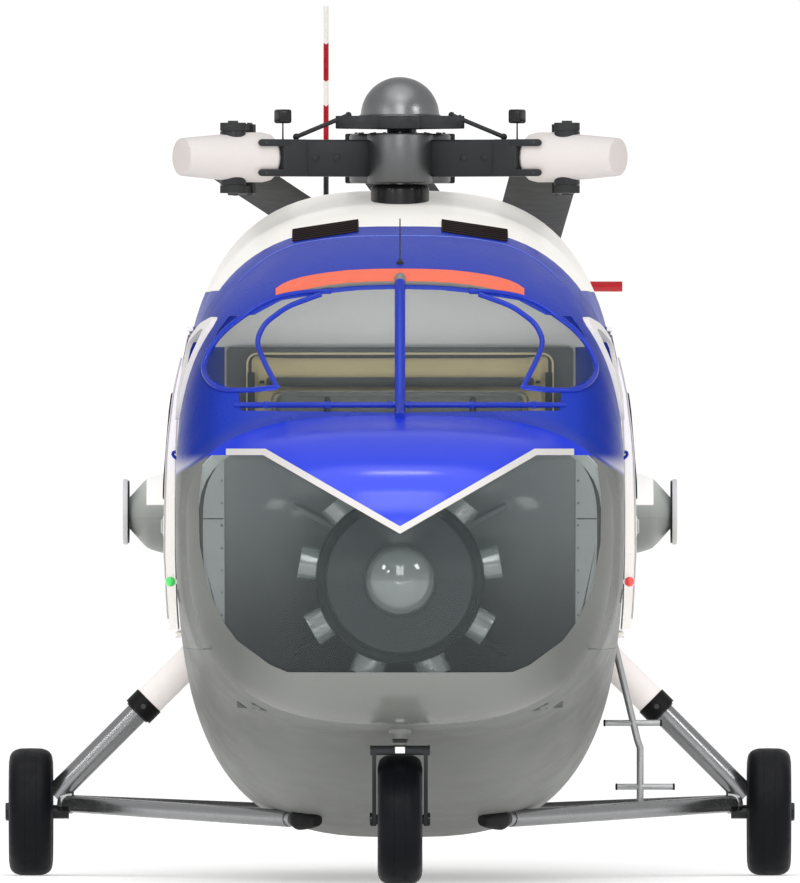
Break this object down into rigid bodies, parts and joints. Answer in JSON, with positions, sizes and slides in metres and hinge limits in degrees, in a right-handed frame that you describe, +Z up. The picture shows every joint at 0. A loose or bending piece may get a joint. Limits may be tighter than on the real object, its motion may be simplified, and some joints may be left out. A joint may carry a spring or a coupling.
{
  "type": "helicopter",
  "caption": "Utility helicopter with a nose radial engine seen through a smoked window, blades folded aft, sliding side doors, castoring nose wheel and outrigger main wheels.",
  "frame": {"origin": "centre of the machine's bounding box on the ground plane", "axes": "+Z up, nose towards -Y, port side towards +X"},
  "size_m": [3.97, 14.3412, 4.48],
  "materials": {
    "grey_paint": "satin",
    "white_paint": "gloss",
    "blue_paint": "gloss",
    "red_paint": "gloss",
    "blade_paint": "satin",
    "smoked_glass": "gloss",
    "clear_glass": "gloss",
    "floor_metal": "satin",
    "wall_lining": "matte",
    "dark_trim": "matte",
    "seat_fabric": "matte",
    "dark_fabric": "matte",
    "engine_metal": "satin",
    "dark_metal": "satin",
    "black_metal": "satin",
    "bright_steel": "polished",
    "tyre_rubber": "matte"
  },
  "bodies": {
    "fuselage": {"nose_shell": "grey_paint", "nose_glass": "smoked_glass", "nose_trim": "white_paint", "cockpit_shell": "blue_paint", "cabin_shell": "blue_paint", "belly_shell": "grey_paint", "roof_panel": "white_paint", "windscreen_glass": "clear_glass", "cockpit_window_glass_l": "clear_glass", "cockpit_window_glass_r": "clear_glass", "cockpit_window_frame_l": "white_paint", "cockpit_window_frame_r": "white_paint", "cabin_floor": "floor_metal", "cockpit_deck": "floor_metal", "cockpit_wall": "wall_lining", "seat_panel": "dark_trim", "seat_back": "seat_fabric", "seat_cushion": "dark_fabric", "seat_roll": "dark_fabric", "tail_cone": "blue_paint", "tail_pylon": "white_paint", "side_pod_l": "grey_paint", "side_pod_r": "grey_paint", "engine": "engine_metal", "engine_bay_panel": "dark_metal", "oleo_cylinder_l": "white_paint", "oleo_cylinder_r": "white_paint", "main_leg_l": "bright_steel", "main_leg_r": "bright_steel", "nose_leg": "white_paint", "boarding_step": "bright_steel", "mast_housing": "black_metal"},
    "cabin_door_left": {"cabin_door_l": "white_paint", "door_glass_l": "clear_glass"},
    "cabin_door_right": {"cabin_door_r": "white_paint", "door_glass_r": "clear_glass"},
    "main_wheel_left": {"tyre_main_l": "tyre_rubber", "rim_main_l": "grey_paint"},
    "main_wheel_right": {"tyre_main_r": "tyre_rubber", "rim_main_r": "grey_paint"},
    "nose_fork_assembly": {"nose_fork": "dark_metal"},
    "nose_wheel": {"tyre_nose": "tyre_rubber", "rim_nose": "grey_paint"},
    "main_rotor_head": {"rotor_hub": "dark_metal", "cuff_a": "white_paint", "cuff_b": "white_paint", "cuff_c": "white_paint", "rotor_head": "dark_metal"},
    "rotor_blade_a": {"blade_a": "blade_paint"},
    "rotor_blade_b": {"blade_b": "blade_paint"},
    "rotor_blade_c": {"blade_c": "blade_paint"},
    "tail_rotor_assembly": {"tail_rotor": "red_paint"}
  },
  "joints": [
    {"name": "main_rotor_spin", "type": "hinge", "parent": "fuselage", "child": "main_rotor_head", "pos_m": [0, -3.4985, 3.6], "axis": [0, 0, 1], "continuous": true},
    {"name": "blade_a_fold", "type": "hinge", "parent": "main_rotor_head", "child": "rotor_blade_a", "pos_m": [-0.83225, -3.979, 3.6], "axis": [0, 0, 1], "range_deg": [0, 126.5]},
    {"name": "blade_b_fold", "type": "hinge", "parent": "main_rotor_head", "child": "rotor_blade_b", "pos_m": [0.83225, -3.979, 3.6], "axis": [0, 0, 1], "range_deg": [-121, 0]},
    {"name": "blade_c_lag", "type": "hinge", "parent": "main_rotor_head", "child": "rotor_blade_c", "pos_m": [0, -2.5375, 3.6], "axis": [0, 0, 1], "range_deg": [-4, 4]},
    {"name": "tail_rotor_spin", "type": "hinge", "parent": "fuselage", "child": "tail_rotor_assembly", "pos_m": [-0.39, 5.9615, 3.15], "axis": [1, 0, 0], "continuous": true},
    {"name": "nose_fork_swivel", "type": "hinge", "parent": "fuselage", "child": "nose_fork_assembly", "pos_m": [0, -6.1385, 0.655], "axis": [0, 0, 1], "continuous": true},
    {"name": "nose_wheel_spin", "type": "hinge", "parent": "nose_fork_assembly", "child": "nose_wheel", "pos_m": [0, -6.0085, 0.32], "axis": [1, 0, 0], "continuous": true},
    {"name": "main_wheel_left_spin", "type": "hinge", "parent": "fuselage", "child": "main_wheel_left", "pos_m": [1.856, -2.4485, 0.32], "axis": [1, 0, 0], "continuous": true},
    {"name": "main_wheel_right_spin", "type": "hinge", "parent": "fuselage", "child": "main_wheel_right", "pos_m": [-1.856, -2.4485, 0.32], "axis": [1, 0, 0], "continuous": true},
    {"name": "cabin_door_left_slide", "type": "slide", "parent": "fuselage", "child": "cabin_door_left", "axis": [0, 1, 0], "range_m": [0, 1.15]},
    {"name": "cabin_door_right_slide", "type": "slide", "parent": "fuselage", "child": "cabin_door_right", "axis": [0, 1, 0], "range_m": [0, 1.15]}
  ]
}
